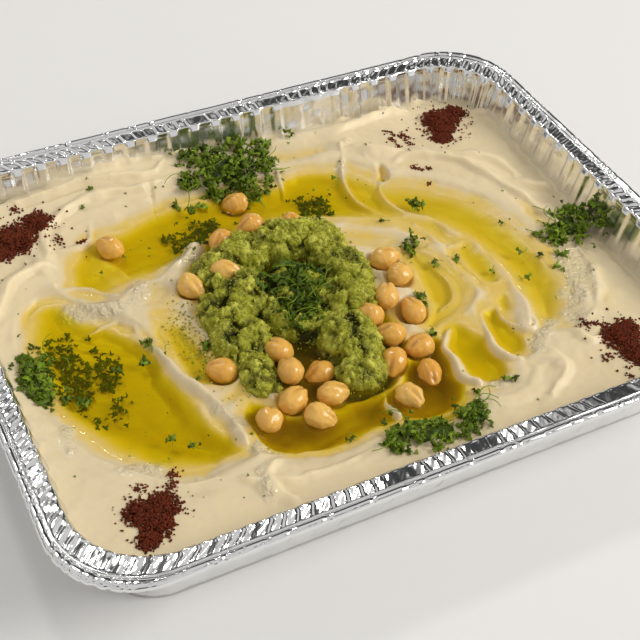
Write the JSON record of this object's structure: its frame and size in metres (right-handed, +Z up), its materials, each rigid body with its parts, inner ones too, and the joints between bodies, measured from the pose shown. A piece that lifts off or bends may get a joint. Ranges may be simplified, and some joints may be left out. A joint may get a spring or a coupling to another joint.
{
  "type": "hummus in a foil catering tray",
  "caption": "Foil catering tray of spoon-swirled hummus with golden oil in its hollows, green mash, chickpeas, chopped parsley and sumac.",
  "frame": {"origin": "centre of the tray's underside, on the surface it stands on", "axes": "+X along the tray's long side, +Y across it away from the viewer, +Z up"},
  "size_m": [0.324, 0.264, 0.0434],
  "materials": {
    "foil": "bright fluted foil, crimped at the rolled edge",
    "hummus": "smooth moist paste, satin, with wet smears",
    "oil": "clear golden oil, glossy, deeper in colour where it is deep",
    "chickpea": "cooked, moist, with loose skins",
    "mash": "coarse wet green mash",
    "parsley": "chopped curly leaves",
    "sumac": "dry ground grains"
  },
  "bodies": {
    "root": {"foil_tray": "foil", "hummus": "hummus", "chickpea_01": "chickpea", "chickpea_02": "chickpea", "chickpea_03": "chickpea", "chickpea_04": "chickpea", "chickpea_05": "chickpea", "chickpea_06": "chickpea", "chickpea_07": "chickpea", "chickpea_08": "chickpea", "chickpea_09": "chickpea", "chickpea_10": "chickpea", "chickpea_11": "chickpea", "chickpea_12": "chickpea", "chickpea_13": "chickpea", "chickpea_14": "chickpea", "chickpea_15": "chickpea", "chickpea_16": "chickpea", "chickpea_17": "chickpea", "chickpea_18": "chickpea", "chickpea_19": "chickpea", "chickpea_20": "chickpea", "chickpea_21": "chickpea", "chickpea_22": "chickpea", "chickpea_23": "chickpea", "chickpea_24": "chickpea", "chickpea_25": "chickpea", "green_mash": "mash", "oil_far": "oil", "oil_left": "oil", "oil_near": "oil", "oil_crescent": "oil", "oil_film": "oil", "oil_near_right": "oil", "oil_right_tip": "oil", "oil_right_cup": "oil", "oil_left_inner": "oil", "parsley_far": "parsley", "parsley_near": "parsley", "parsley_right": "parsley", "parsley_left": "parsley", "parsley_on_mash": "parsley", "sumac_near_left": "sumac", "sumac_far_left": "sumac", "sumac_far_right": "sumac", "sumac_near_right": "sumac"}
  },
  "joints": []
}
